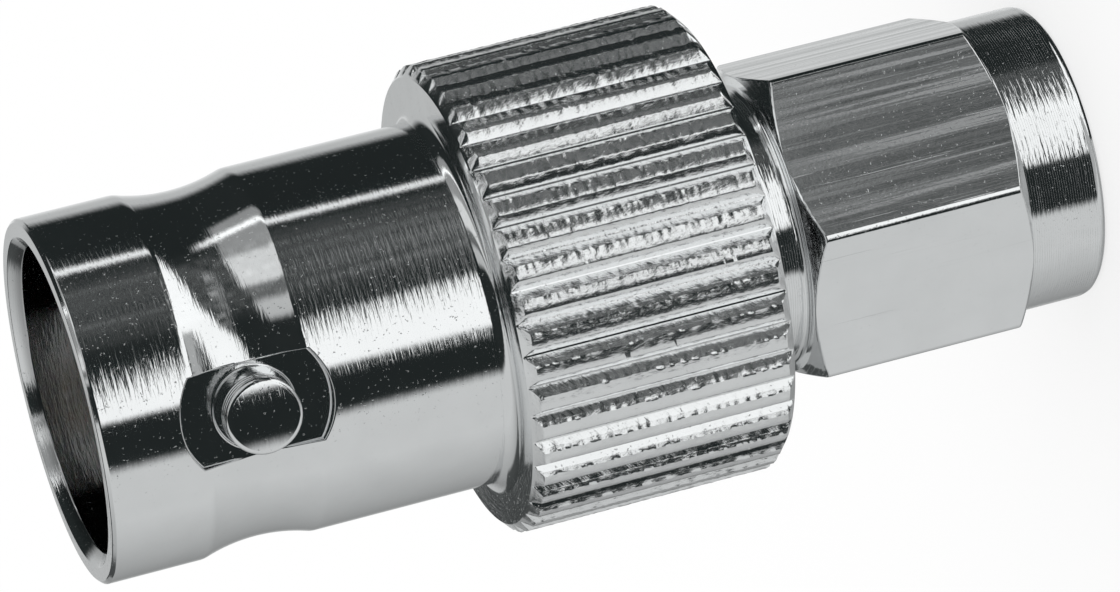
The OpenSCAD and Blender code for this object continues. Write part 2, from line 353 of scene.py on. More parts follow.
def bright_nickel(name, milled):
    """Bright nickel over turning marks; the worked share is torn by a knurl or milled along the axis. In the
    knurled jack's bore the colour is darkened, partly as painted shade and partly for duller metal.
    """
    made, g = blank_material(name)
    x, y, z, r = place_in_mm(g)
    worked = g.node("ShaderNodeAttribute", {"attribute_name": "worked"}, out="Fac")
    rings = turning_marks(g, x, y, z, r)
    if milled:
        rings = rings * 0.6 + feed_marks(g, x, y, z, r)
        other = milled_marks(g, x, y, z)
        worked_rough, painted_shade_factor = 0.01, 1.0
    else:
        worked = g.least(worked * 5.0, 1.0)
        other = torn_marks(g, x, y, z)
        # Painted shade: inside the bore the base colour is darkened to 0.58. This stands partly for the shade
        # in the hollow and partly for duller metal.
        outside = g.smooth(r, SHELL_BORE_R + 0.02, SHELL_BORE_R + 0.25)
        painted_bore_shade = 0.58
        worked_rough, painted_shade_factor = 0.12, outside * (1.0 - painted_bore_shade) + painted_bore_shade
    specks = g.smooth(noise(g, g.vector(x * 12.0, y * 12.0, z * 12.0)), 0.67, 0.76) * 2.4
    height = rings * (1.0 - worked) + other * worked + specks
    haze = noise(g, g.vector(x * 0.8, y * 0.8, z * 0.8))
    rough = 0.05 + haze * 0.05 + worked * worked_rough
    shade = (haze * 0.1 + 0.8) * painted_shade_factor
    tone = g.node("ShaderNodeCombineColor", sockets={0: shade * 0.99, 1: shade, 2: shade * 1.005})
    finish_material(g, Base_Color=tone, Metallic=1.0, Roughness=rough, Normal=bump(g, height, 1.0))
    return made


def gold_plate():
    """Soft gold over fine turning marks."""
    made, g = blank_material("gold_plate")
    x, y, z, r = place_in_mm(g)
    lines = noise(g, g.vector(x * 2.0, y * 2.0, (z + r) * 18.0))
    tone = two_tones(g, lines, (0.80, 0.56, 0.20), (0.95, 0.74, 0.34))
    relief = bump(g, lines, 0.8)
    finish_material(g, Base_Color=tone, Metallic=1.0, Roughness=0.16 + lines * 0.1, Normal=relief)
    return made


def spring_bronze():
    """Drawn spring wire, a little dull."""
    made, g = blank_material("spring_bronze")
    x, y, z, _ = place_in_mm(g)
    grain = noise(g, g.vector(x * 3.0, y * 3.0, z * 14.0), detail=4.0)
    tone = two_tones(g, grain, (0.50, 0.31, 0.16), (0.74, 0.52, 0.31))
    relief = bump(g, grain, 2.0)
    finish_material(g, Base_Color=tone, Metallic=1.0, Roughness=0.25 + grain * 0.15, Normal=relief)
    return made


def white_insulator():
    """Waxy white plastic, skived on a lathe."""
    made, g = blank_material("white_insulator")
    x, y, z, r = place_in_mm(g)
    rings = noise(g, g.vector(x * 0.6, y * 0.6, (z + r) * 9.0))
    cloud = noise(g, g.vector(x, y, z), detail=4.0)
    finish_material(
        g,
        Base_Color=two_tones(g, cloud, (0.80, 0.80, 0.77), (0.90, 0.90, 0.88)),
        Roughness=0.42 + cloud * 0.12,
        Subsurface_Weight=0.15,
        Subsurface_Scale=0.4 * MM,
        Normal=bump(g, rings, 6.0),
    )
    return made


def silicone():
    """Soft red rubber with a matt skin."""
    made, g = blank_material("silicone")
    x, y, z, _ = place_in_mm(g)
    skin = noise(g, g.vector(x * 12.0, y * 12.0, z * 12.0), detail=3.0)
    tone = two_tones(g, skin, (0.34, 0.07, 0.04), (0.48, 0.13, 0.08))
    finish_material(g, Base_Color=tone, Roughness=0.5 + skin * 0.2, Normal=bump(g, skin, 4.0))
    return made


def section(corners, closed=True):
    """Rounds the corners of a turned section, which runs up outside and down inside.
    A corner is (radius, height, edge radius or None for a smooth point, share that is flat after it)."""
    spots = [np.array(corner[:2], float) for corner in corners]
    flats = [corner[3] if len(corner) > 3 else 0.0 for corner in corners]
    rows = []
    for i, here in enumerate(spots):
        before = here - spots[i - 1]
        after = spots[(i + 1) % len(spots)] - here
        flat_in, flat_out = flats[i - 1], flats[i]
        if not closed and i == 0:
            before, flat_in = after, flat_out
        if not closed and i == len(spots) - 1:
            after, flat_out = before, flat_in
        reach = 0.45 * min(np.hypot(*before), np.hypot(*after))
        into = before / np.hypot(*before)
        away = after / np.hypot(*after)
        side = np.array((into[1], -into[0]))
        turn = math.atan2(into[0] * away[1] - into[1] * away[0], into @ away)
        edge = corners[i][2]
        if edge is None or abs(turn) < 1e-3:
            lean = np.array((math.cos(turn / 2), math.sin(turn / 2)))
            rows.append((here, spun(side, lean), (flat_in + flat_out) / 2))
            continue
        cut = min(edge * math.tan(abs(turn) / 2), reach)
        radius = math.copysign(cut / math.tan(abs(turn) / 2), turn)
        centre = here - into * cut - side * radius
        for share in np.arange(EDGE_STEPS + 1) / EDGE_STEPS:
            lean = np.array((math.cos(turn * share), math.sin(turn * share)))
            normal = spun(side, lean)
            rows.append((centre + normal * radius, normal, flat_in + (flat_out - flat_in) * share))
    return (np.array(column) for column in zip(*rows))


def spun(vector, lean):
    """A flat vector turned by the angle whose cosine and sine are in lean."""
    return np.array((vector[0] * lean[0] - vector[1] * lean[1], vector[0] * lean[1] + vector[1] * lean[0]))


def round_turn(count):
    return np.arange(count) * 2 * math.pi / count


def turned(corners, angles, closed=True):
    """A section swept round the axis: points and normals by row and angle."""
    spots, leans, _ = section(corners, closed)
    around = np.stack((np.cos(angles), np.sin(angles)), 1)

    def swept(pairs):
        upright = np.repeat(pairs[:, None, 1:], len(angles), 1)
        return np.concatenate((pairs[:, None, :1] * around, upright), 2)

    return swept(spots), swept(leans)


class Skin:
    """Points in millimetres with their true normals, and the faces between them."""

    def __init__(self):
        self.points = np.zeros((0, 3))
        self.normals = np.zeros((0, 3))
        self.worked = np.zeros(0)
        self.faces = []

    def add(self, points, normals=None, worked=0.0):
        """Adds points and gives their numbers."""
        first = len(self.points)
        points = np.asarray(points, float).reshape(-1, 3)
        normals = np.zeros_like(points) if normals is None else np.reshape(normals, (-1, 3))
        self.points = np.concatenate((self.points, points))
        self.normals = np.concatenate((self.normals, normals))
        self.worked = np.concatenate((self.worked, np.broadcast_to(worked, len(points))))
        return first + np.arange(len(points))

    def grid(self, points, normals, closed=True, keep=None, worked=0.0):
        """Faces between rows of points that close round each row, and from the last row to the first."""
        ids = self.add(points, normals, worked).reshape(points.shape[:2])
        low = ids if closed else ids[:-1]
        high = np.roll(ids, -1, 0) if closed else ids[1:]
        quads = np.stack((low, np.roll(low, -1, 1), np.roll(high, -1, 1), high), 2)
        quads = quads.reshape(-1, 4) if keep is None else quads[keep]
        self.faces += quads.tolist()
        return ids

    def zipped(self, ring, ring_angles, other, other_angles):
        """Triangles between two rings of points that are sorted by the angle round one centre."""
        count, total = len(ring), len(other)
        gap = (other_angles - ring_angles[0] + math.pi) % (2 * math.pi) - math.pi
        first = int(np.argmin(np.abs(gap)))
        other = np.roll(other, -first)
        steps = (np.roll(gap, -first) - gap[first]) % (2 * math.pi) + gap[first]
        ahead = (ring_angles - ring_angles[0]) % (2 * math.pi)
        ahead = np.append(ahead, 2 * math.pi)
        steps = np.append(steps, steps[0] + 2 * math.pi)
        i = j = 0
        while i < count or j < total:
            if j == total or (i < count and ahead[i + 1] <= steps[j + 1]):
                self.faces.append([int(ring[i]), int(ring[(i + 1) % count]), int(other[j % total])])
                i += 1
            else:
                self.faces.append([int(ring[i % count]), int(other[(j + 1) % total]), int(other[j])])
                j += 1

    def take(self, mesh):
        """Adds a plain mesh, which keeps its own shading."""
        spots = np.zeros(len(mesh.vertices) * 3)
        mesh.vertices.foreach_get("co", spots)
        worked = 0.0
        if "worked" in mesh.attributes:
            worked = np.zeros(len(mesh.vertices))
            mesh.attributes["worked"].data.foreach_get("value", worked)
        ids = self.add(spots.reshape(-1, 3) / MM, worked=worked)
        self.faces += [[int(ids[v]) for v in face.vertices] for face in mesh.polygons]
        return ids

    def face_outwards(self):
        """Turns each face to the side that its normals point to."""
        for face in self.faces:
            a, b, c = (self.points[face[k]] for k in (0, 1, 2))
            d = self.points[face[-1]]
            across = np.cross(c - a, d - b) if len(face) == 4 else np.cross(b - a, c - a)
            if across @ self.normals[face].sum(0) < 0:
                face.reverse()

    def mesh(self, name):
        """The welded mesh, shaded by its true normals."""
        self.face_outwards()
        made = bpy.data.meshes.new(name)
        made.from_pydata((self.points * MM).tolist(), [], self.faces)
        true = made.attributes.new("true_normal", "FLOAT_VECTOR", "POINT")
        true.data.foreach_set("vector", self.normals.astype(np.float32).ravel())
        worked = made.attributes.new("worked", "FLOAT", "POINT")
        worked.data.foreach_set("value", self.worked.astype(np.float32))
        work = bmesh.new()
        work.from_mesh(made)
        bmesh.ops.remove_doubles(work, verts=work.verts, dist=WELD * MM)
        bmesh.ops.dissolve_degenerate(work, edges=work.edges, dist=WELD * MM / 4)
        work.to_mesh(made)
        work.free()
        smooth_by_true_normals(made)
        return made


def smooth_by_true_normals(mesh):
    """Shades a face by the true normals of its points where all have one, and by the mesh elsewhere."""
    mesh.polygons.foreach_set("use_smooth", [True] * len(mesh.polygons))
    mesh.set_sharp_from_angle(angle=SHARP)
    true = np.zeros(len(mesh.vertices) * 3, np.float32)
    mesh.attributes["true_normal"].data.foreach_get("vector", true)
    true = true.reshape(-1, 3)
    length = np.linalg.norm(true, axis=1)
    corner_points = np.zeros(len(mesh.loops), np.int32)
    mesh.loops.foreach_get("vertex_index", corner_points)
    starts = np.zeros(len(mesh.polygons), np.int32)
    mesh.polygons.foreach_get("loop_start", starts)
    totals = np.zeros(len(mesh.polygons), np.int32)
    mesh.polygons.foreach_get("loop_total", totals)
    known = np.minimum.reduceat((length > 0.5)[corner_points].astype(int), starts)
    use = np.repeat(known, totals).astype(bool)
    normals = np.zeros(len(mesh.loops) * 3, np.float32)
    mesh.corner_normals.foreach_get("vector", normals)
    normals = normals.reshape(-1, 3)
    normals[use] = (true / np.maximum(length, 1e-6)[:, None])[corner_points[use]]
    mesh.attributes.remove(mesh.attributes["true_normal"])
    mesh.normals_split_custom_set(normals.tolist())


def grown(mesh, tree, values):
    """The mesh that a Geometry Nodes tree makes from another, as a plain mesh."""
    seed = bpy.data.objects.new("seed", mesh)
    bpy.context.scene.collection.objects.link(seed)
    modifier = seed.modifiers.new("grow", "NODES")
    modifier.node_group = tree
    for item in tree.interface.items_tree:
        if item.in_out == "INPUT" and item.name in values:
            modifier[item.identifier] = values[item.name]
    bpy.context.view_layer.update()
    graph = bpy.context.evaluated_depsgraph_get()
    made = bpy.data.meshes.new_from_object(seed.evaluated_get(graph))
    seed.modifiers.remove(modifier)
    bpy.data.objects.remove(seed)
    return made


def new_tree(name, inputs):
    """An empty Geometry Nodes tree with named inputs and one geometry output."""
    tree = bpy.data.node_groups.new(name, "GeometryNodeTree")
    for label, kind in inputs.items():
        tree.interface.new_socket(label, in_out="INPUT", socket_type="NodeSocket" + kind)
    tree.interface.new_socket("Geometry", in_out="OUTPUT", socket_type="NodeSocketGeometry")
    return tree, Graph(tree)


def ring_tree():
    """Repeats a piece round the axis, welds the seams and tears the worked metal."""
    inputs = {
        "Geometry": "Geometry",
        "Count": "Int",
        "Tear": "Float",
        "Tear length": "Float",
        "Seed": "Float",
        "Material": "Material",
    }
    tree, g = new_tree("pieces_round_the_axis", inputs)
    given = g.node("NodeGroupInput")
    points = g.node("GeometryNodePoints", sockets={"Count": given.out("Count")})
    turn = g.node("GeometryNodeInputIndex") * (2 * math.pi) / given.out("Count")
    rotation = g.node("FunctionNodeEulerToRotation", sockets={0: g.vector(z=turn)})
    ring = g.node(
        "GeometryNodeInstanceOnPoints",
        sockets={"Points": points, "Instance": given.out("Geometry"), "Rotation": rotation},
    )
    whole = g.node("GeometryNodeRealizeInstances", sockets={"Geometry": ring})
    welded = g.node("GeometryNodeMergeByDistance", sockets={"Geometry": whole, "Distance": WELD * MM})
    torn = g.node("GeometryNodeInputNamedAttribute", {"data_type": "FLOAT"}, {"Name": "worked"})
    grain = g.node(
        "ShaderNodeTexNoise",
        {"noise_dimensions": "4D"},
        {
            "Vector": g.node("GeometryNodeInputPosition"),
            "W": given.out("Seed"),
            "Scale": 1.0 / given.out("Tear length"),
            "Detail": 2.0,
        },
        out="Color",
    )
    centred = g.node("ShaderNodeVectorMath", {"operation": "SUBTRACT"}, {0: grain, 1: (0.5, 0.5, 0.5)})
    offset = g.node(
        "ShaderNodeVectorMath",
        {"operation": "SCALE"},
        {0: centred, "Scale": torn * given.out("Tear") * 4.0},
    )
    moved = g.node("GeometryNodeSetPosition", sockets={"Geometry": welded, "Offset": offset})
    painted = g.node(
        "GeometryNodeSetMaterial", sockets={"Geometry": moved, "Material": given.out("Material")}
    )
    g.node("NodeGroupOutput", sockets={"Geometry": painted})
    return tree


def thread_tree():
    """A helical ridge on the inside of a bore, which fades at both ends."""
    inputs = {
        "Geometry": "Geometry",
        "Pitch": "Float",
        "Turns": "Float",
        "Bore radius": "Float",
        "Depth": "Float",
        "Half width": "Float",
        "Start": "Float",
        "Steps": "Int",
        "Material": "Material",
    }
    tree, g = new_tree("thread_ridge", inputs)
    given = g.node("NodeGroupInput")
    strip = g.node(
        "GeometryNodeMeshGrid",
        sockets={"Size X": 1.0, "Size Y": 1.0, "Vertices X": given.out("Steps"), "Vertices Y": 5},
    )
    parts = g.node("ShaderNodeSeparateXYZ", sockets={0: g.node("GeometryNodeInputPosition")})
    along = parts.out("X") + 0.5
    row = (parts.out("Y") + 0.5) * 4.0
    crest = g.least(g.most(g.least(row, 3.0 - row), 0.0), 1.0)
    fade = g.least(g.least(along, 1.0 - along) * given.out("Turns") * 3.0, 1.0)
    rise = row / 1.5 - 1.0 - (row > 3.5) * (4 / 1.5)
    turn = along * given.out("Turns") * (2 * math.pi)
    radius = given.out("Bore radius") + (0.1 - crest) * fade * given.out("Depth")
    height = given.out("Start") + along * given.out("Turns") * given.out("Pitch")
    place = g.vector(
        radius * g.math("COSINE", turn),
        radius * g.math("SINE", turn),
        height + rise * fade * given.out("Half width"),
    )
    ridge = g.node("GeometryNodeSetPosition", sockets={"Geometry": strip, "Position": place})
    welded = g.node("GeometryNodeMergeByDistance", sockets={"Geometry": ridge, "Distance": WELD * MM})
    whole = g.node("GeometryNodeRealizeInstances", sockets={"Geometry": welded})
    painted = g.node(
        "GeometryNodeSetMaterial", sockets={"Geometry": whole, "Material": given.out("Material")}
    )
    g.node("NodeGroupOutput", sockets={"Geometry": painted})
    return tree


def shell_radius(z):
    """Radius of the jack's outside at a height, with its hollow waist and round shoulders, and its slope."""
    offset = np.abs(z - WAIST_Z)
    waist = np.sqrt(WAIST_R**2 - np.minimum(offset, SHOULDER_START) ** 2)
    over = np.clip(offset, SHOULDER_START, SHOULDER_END) - SHOULDER_END
    shoulder = np.sqrt(SHOULDER_R**2 - over**2)
    inside = offset < SHOULDER_START
    radius = np.where(inside, WAIST_CENTRE_R - waist, SHELL_R - SHOULDER_R + shoulder)
    slope = np.where(inside, offset / waist, -over / shoulder)
    return radius, slope * np.sign(z - WAIST_Z)


def shell_point(x, z):
    """Point and normal of the jack's outside, on the side of +Y."""
    radius, slope = shell_radius(z)
    y = np.sqrt(radius**2 - x**2)
    normal = np.stack((x / radius, y / radius, -slope), -1)
    return np.stack((x, y, z), -1), normal / np.linalg.norm(normal, axis=-1, keepdims=True)


def shell_normals(points):
    """True normals of points on the jack's outside."""
    radius, slope = shell_radius(points[:, 2])
    normals = np.column_stack((points[:, :2] / radius[:, None], -slope))
    return normals / np.linalg.norm(normals, axis=1, keepdims=True)


def shell_corners():
    """Section of the jack from the collar's upper face, over the mouth and back to its lower face."""
    shoulder = np.linspace(SHOULDER_START, SHOULDER_END, 6)
    offsets = np.concatenate((np.linspace(-OUTSIDE_SPAN, OUTSIDE_SPAN, 53), shoulder, -shoulder))
    levels = WAIST_Z + np.unique(offsets)
    corners = [(COLLAR_FACE_R, COLLAR_TOP, None), (SHELL_R, COLLAR_TOP, ROOT_FILLET)]
    corners += [(radius, z, None) for radius, z in zip(shell_radius(levels)[0], levels)]
    corners += [
        (SHELL_R, MOUTH_Z - MOUTH_EDGE, 0.06),
        (SHELL_R - MOUTH_EDGE, MOUTH_Z, 0.06),
        (SHELL_BORE_R + MOUTH_BEVEL, MOUTH_Z, 0.04),
        (SHELL_BORE_R, MOUTH_Z - MOUTH_BEVEL, 0.06),
        (SHELL_BORE_R, SOCKET_FLOOR, 0.1),
        (WEB_HOLE_R, SOCKET_FLOOR, TURN_EDGE),
        (WEB_HOLE_R, WEB_Z, TURN_EDGE),
        (SPIGOT_BORE_R, WEB_Z, TURN_EDGE),
        (SPIGOT_BORE_R, COLLAR_Z, 0.08),
        (COLLAR_FACE_R, COLLAR_Z, None),
    ]
    return corners


def lug_shell(out, reach):
    """Points and normals of the shell at a reach from a lug's axis, each way round it."""
    return shell_point(reach * out[:, 0], WAIST_Z + reach * out[:, 2])


def seat_edge(out):
    """Reach of the seat's edge each way round a lug: where its floor leaves the shell, or a straight side."""
    tries = np.linspace(LUG_R + LUG_FOOT, SEAT_R, SEAT_TRIES)
    heights = np.stack([lug_shell(out, reach)[0][:, 1] for reach in tries])
    below = heights < SEAT_Y
    first = np.where(below.any(0), below.argmax(0), len(tries) - 1)
    return np.minimum(tries[first], SEAT_HALF / np.maximum(np.abs(out[:, 0]), 0.01))


def lug_rows(angles):
    """Rows round a lug on +Y, from the shell inwards: the milled seat's wall and floor, and the lug."""
    out = np.stack((np.cos(angles), np.zeros_like(angles), np.sin(angles)), 1)
    up = np.tile((0.0, 1.0, 0.0), (len(angles), 1))
    edge = seat_edge(out)
    top, lean = lug_shell(out, edge)
    wall = np.maximum(top[:, 1] - SEAT_Y, 0.0)
    drop = np.minimum(SEAT_EDGE, wall / 2)
    steep = np.minimum(wall / (2 * SEAT_EDGE), 1.0)[:, None]
    side = lean * (1 - steep) + up * (1 - steep) - out * steep
    side /= np.linalg.norm(side, axis=1, keepdims=True)
    rows = []

    def at(reach, height, normal):
        place = out * np.reshape(reach, (-1, 1)) + (0.0, 0.0, WAIST_Z)
        place[:, 1] = height
        rows.append((place, normal / np.linalg.norm(normal, axis=1, keepdims=True)))

    def bend(start, middle, end, normals):
        """A curve between two (reach, height) pairs with its corner in the middle."""
        for share in np.arange(EDGE_STEPS + 1) / EDGE_STEPS:
            weights = ((1 - share) ** 2, 2 * share * (1 - share), share**2)
            reach, height = (sum(w * p[k] for w, p in zip(weights, (start, middle, end))) for k in (0, 1))
            at(reach, height, normals[0] * (1 - share) + normals[1] * share)

    def tip(reach):
        """Height and normal of the lug's end, which is turned about the jack's axis."""
        x = reach * out[:, 0]
        height = np.sqrt(LUG_TIP**2 - x**2)
        return height, np.stack((x, height, np.zeros_like(x)), 1)

    border = SEAT_R + SEAT_BORDER
    for share in (0.0, 0.3, 0.6):
        rows.append(lug_shell(out, border + (edge + SEAT_EDGE - border) * share))
    rim = lug_shell(out, edge + SEAT_EDGE)
    bend((edge + SEAT_EDGE, rim[0][:, 1]), (edge, top[:, 1]), (edge, top[:, 1] - drop), (rim[1], side))
    bend((edge, SEAT_Y + drop), (edge, SEAT_Y), (edge - SEAT_EDGE, SEAT_Y), (side, up))
    foot = LUG_R + LUG_FOOT
    flare = LUG_FOOT / LUG_FOOT_H
    sloping = out + up * flare
    risen = (foot - LUG_FILLET * flare, SEAT_Y + LUG_FILLET)
    bend((foot + LUG_FILLET, SEAT_Y), (foot, SEAT_Y), risen, (up, sloping))
    at(LUG_R, SEAT_Y + LUG_FOOT_H, sloping)
    for ridge in LUG_RIDGES:
        for share in (-1.0, -0.5, 0.0, 0.5, 1.0):
            dip = (1 + math.cos(math.pi * share)) / 2
            slope = math.sin(math.pi * share) * math.pi / 2 * RIDGE_DEPTH / RIDGE_HALF
            at(LUG_R - RIDGE_DEPTH * dip, SEAT_Y + ridge + RIDGE_HALF * share, out - up * slope)
    brow, crown = tip(LUG_R)[0], tip(LUG_R - LUG_EDGE)
    bend((LUG_R, brow - LUG_EDGE), (LUG_R, brow), (LUG_R - LUG_EDGE, crown[0]), (out, crown[1] / LUG_TIP))
    for reach in (0.6, 0.3, 0.0):
        at(reach, *tip(reach))
    return (np.stack(column) for column in zip(*rows))


def add_lug(skin, ids, hole, side):
    """A lug and its seat on one side, zipped into the hole that the turned shell leaves for it."""
    corner = math.acos(SEAT_HALF / SEAT_R)
    corners = np.array((corner, math.pi - corner, math.pi + corner, 2 * math.pi - corner))
    angles = np.sort(np.concatenate((round_turn(LUG_SIDES), corners)))
    points, normals = lug_rows(angles)
    mirror = np.array((side, side, 1.0))
    patch = skin.grid(points * mirror, normals * mirror, closed=False)
    border = np.unique(ids[hole])
    around = np.arctan2(skin.points[border, 2] - WAIST_Z, skin.points[border, 0] * side)
    order = np.argsort(around)
    skin.zipped(patch[0], angles, border[order], around[order])


def knurl_tooth():
    """One pitch of the collar: half a land, a groove that runs out at both bevels, and half a land.
    One edge of the groove is torn."""
    length = COLLAR_TOP - COLLAR_Z
    bevel = np.linspace(0.0, COLLAR_BEVEL_LEN, BEVEL_ROWS)
    middle = np.linspace(COLLAR_BEVEL_LEN, length - COLLAR_BEVEL_LEN, KNURL_ROWS)
    heights = np.concatenate((bevel, middle[1:-1], length - bevel[::-1]))
    inset = np.maximum(1 - np.minimum(heights, length - heights) / COLLAR_BEVEL_LEN, 0)
    outside = COLLAR_R - COLLAR_BEVEL * inset
    root = COLLAR_R - KNURL_DEPTH
    half_pitch = np.full_like(outside, math.pi * COLLAR_R / KNURL_COUNT)
    half_groove = np.maximum(outside - root, KNURL_END_HALF)
    half_root = np.full_like(outside, KNURL_ROOT_HALF)
    fade = np.clip((outside - root) / KNURL_DEPTH, 0, 1)
    crest, flank = 0.15, 0.05
    # Place across the groove, and its share of the tear
    columns = (
        (-half_pitch, crest),
        (-half_groove - TORN_EDGE, 1.0),
        (-half_groove, 1.0),
        (-half_groove * 0.8, 0.5),
        (-half_groove * 0.6, flank),
        (-half_root, flank),
        (half_root, flank),
        (half_groove - KNURL_LIP, 0.2),
        (half_groove + KNURL_LIP, 0.5),
        (half_pitch, crest),
    )
    across = np.stack([place for place, _ in columns], 1)
    torn = np.array([tear for _, tear in columns]) * fade[:, None]
    depth = np.minimum(root + np.abs(across), outside[:, None])
    angle = KNURL_START + across / COLLAR_R
    upright = np.repeat(heights[:, None] + COLLAR_Z, len(columns), 1)
    points = np.stack((depth * np.cos(angle), depth * np.sin(angle), upright), 2)
    ids = np.arange(across.size).reshape(across.shape)
    quads = np.stack((ids[:-1, :-1], ids[:-1, 1:], ids[1:, 1:], ids[1:, :-1]), 2).reshape(-1, 4)
    made = bpy.data.meshes.new("knurl_tooth")
    made.from_pydata((points.reshape(-1, 3) * MM).tolist(), [], quads.tolist())
    worked = made.attributes.new("worked", "FLOAT", "POINT")
    worked.data.foreach_set("value", torn.astype(np.float32).ravel())
    return made


def jack_mesh(ring, nickel):
    """Shell, lugs and knurled collar in one skin."""
    skin = Skin()
    around = round_turn(SHELL_SIDES)
    points, normals = turned(shell_corners(), around, closed=False)
    outer = np.hypot(points[..., 0], points[..., 1]) > (SHELL_BORE_R + SHELL_R) / 2
    outside = outer & (np.abs(points[..., 2] - WAIST_Z) < OUTSIDE_SPAN)
    normals[outside] = shell_normals(points[outside])
    reach = np.hypot(points[..., 0], points[..., 2] - WAIST_Z)
    near = outer & (reach < SEAT_R + SEAT_BORDER + SEAT_GAP)
    touched = near | np.roll(near, -1, 1)
    touched = touched[:-1] | touched[1:]
    ids = skin.grid(points, normals, closed=False, keep=~touched)
    for side in (1.0, -1.0):
        hole = hole_border(touched & (np.sign(points[:-1, :, 1]) == side))
        add_lug(skin, ids, hole, side)
    values = {
        "Count": KNURL_COUNT,
        "Tear": TEAR * MM,
        "Tear length": TEAR_LENGTH * MM,
        "Seed": TEAR_SEED,
        "Material": nickel,
    }
    knurl = skin.take(grown(knurl_tooth(), ring, values))
    for row, level in ((ids[0], COLLAR_TOP), (ids[-1], COLLAR_Z)):
        rim = knurl[np.abs(skin.points[knurl, 2] - level) < 0.001]
        rim_angles = np.arctan2(skin.points[rim, 1], skin.points[rim, 0])
        order = np.argsort(rim_angles)
        skin.zipped(row, around, rim[order], rim_angles[order])
    return skin.mesh("jack_mesh")


def hole_border(gone):
    """The points of a grid that lie on the edge of its missing faces."""
    beside = np.roll(gone, 1, 1)
    touching = np.zeros((gone.shape[0] + 1, gone.shape[1]), bool)
    inside = np.zeros_like(touching)
    touching[:-1] |= gone | beside
    touching[1:] |= gone | beside
    inside[1:-1] = gone[:-1] & gone[1:] & beside[:-1] & beside[1:]
    return touching & ~inside


def nut_columns():
    """Points and outward directions round the nut's hexagon, whose corners are slightly broken."""
    spots, leans = [], []
    centre = (NUT_HALF - NUT_CORNER_EDGE) / math.cos(math.pi / 6)
    for corner in range(6):
        turn = NUT_CORNER + corner * math.pi / 3
        middle = centre * np.array((math.cos(turn), math.sin(turn)))
        for share in np.linspace(-1, 1, NUT_CORNER_POINTS):
            lean = turn + share * math.pi / 6
            leans.append((math.cos(lean), math.sin(lean)))
            spots.append(middle + NUT_CORNER_EDGE * np.array(leans[-1]))
        end = centre * np.array((math.cos(turn + math.pi / 3), math.sin(turn + math.pi / 3)))
        across = NUT_CORNER_EDGE * np.array(leans[-1])
        for share in (np.arange(NUT_FLAT_POINTS) + 1) / (NUT_FLAT_POINTS + 1):
            spots.append(middle + (end - middle) * share + across)
            leans.append(leans[-1])
    return np.array(spots), np.array(leans)


def nut_corners(hex_r):
    """Section of the nut where its hexagon has the given radius."""
    rise = (hex_r - NUT_CHAMFER_R) * NUT_BEVEL
    return [
        (NUT_ENTRY_R, 0.0, TURN_EDGE),
        (NUT_ROUND_R, 0.0, RIM_EDGE),
        (NUT_ROUND_R, RIM_Z, 0.05),
        (NUT_CHAMFER_R, RIM_Z, 0.01),
        (hex_r, RIM_Z + rise, NUT_ARC_EDGE, 1.0),
        (hex_r, HUB_Z - rise, NUT_ARC_EDGE),
        (NUT_CHAMFER_R, HUB_Z, 0.01),
        (HUB_R, HUB_Z, HUB_FILLET),
        (HUB_R, NUT_TOP, 0.05),
        (NUT_LEAD_R, NUT_TOP, TURN_EDGE),
        (NUT_BORE_R, NUT_TOP - (NUT_LEAD_R - NUT_BORE_R), TURN_EDGE),
        (NUT_BORE_R, NUT_GROOVE[1], TURN_EDGE),
        (NUT_GROOVE_R, NUT_GROOVE[1], TURN_EDGE),
        (NUT_GROOVE_R, NUT_GROOVE[0], TURN_EDGE),
        (NUT_BORE_R, NUT_GROOVE[0], TURN_EDGE),
        (NUT_BORE_R, NUT_ENTRY_R - NUT_BORE_R, TURN_EDGE),
    ]


def nut_mesh(nickel):
    """Rim, bevelled hexagon, hub and bore, with a thread in the bore."""
    spots, leans = nut_columns()
    grid, tilt, flat = [], [], []
    for spot, lean in zip(spots, leans):
        reach = np.hypot(*spot)
        radial = spot / reach
        places, normals, flats = section(nut_corners(reach))
        sideways = radial * (1 - flats[:, None]) + lean * flats[:, None]
        sideways /= np.linalg.norm(sideways, axis=1, keepdims=True)
        grid.append(np.column_stack((places[:, :1] * radial, places[:, 1])))
        tilt.append(np.column_stack((normals[:, :1] * sideways, normals[:, 1])))
        flat.append(flats)
    skin = Skin()
    swap = (1, 0, 2)
    points = np.stack(grid).transpose(swap)
    skin.grid(points, np.stack(tilt).transpose(swap), worked=np.stack(flat).T.ravel())
    turns = (THREAD_SPAN[1] - THREAD_SPAN[0]) / THREAD_PITCH
    values = {
        "Pitch": THREAD_PITCH * MM,
        "Turns": turns,
        "Bore radius": NUT_BORE_R * MM,
        "Depth": THREAD_DEPTH * MM,
        "Half width": THREAD_HALF * MM,
        "Start": THREAD_SPAN[0] * MM,
        "Steps": int(turns * THREAD_STEPS),
        "Material": nickel,
    }
    ridge = grown(bpy.data.meshes.new("thread_start"), thread_tree(), values)
    skin.take(outwards(ridge))
    return skin.mesh("nut_mesh")


def outwards(mesh):
    """The same closed mesh with its faces turned outwards."""
    work = bmesh.new()
    work.from_mesh(mesh)
    bmesh.ops.remove_doubles(work, verts=work.verts, dist=WELD * MM)
    bmesh.ops.recalc_face_normals(work, faces=work.faces)
    work.to_mesh(mesh)
    work.free()
    return mesh


def turned_mesh(name, corners):
    """A piece that is only turned."""
    skin = Skin()
    skin.grid(*turned(corners, round_turn(TURNED_SIDES)))
    return skin.mesh(name)


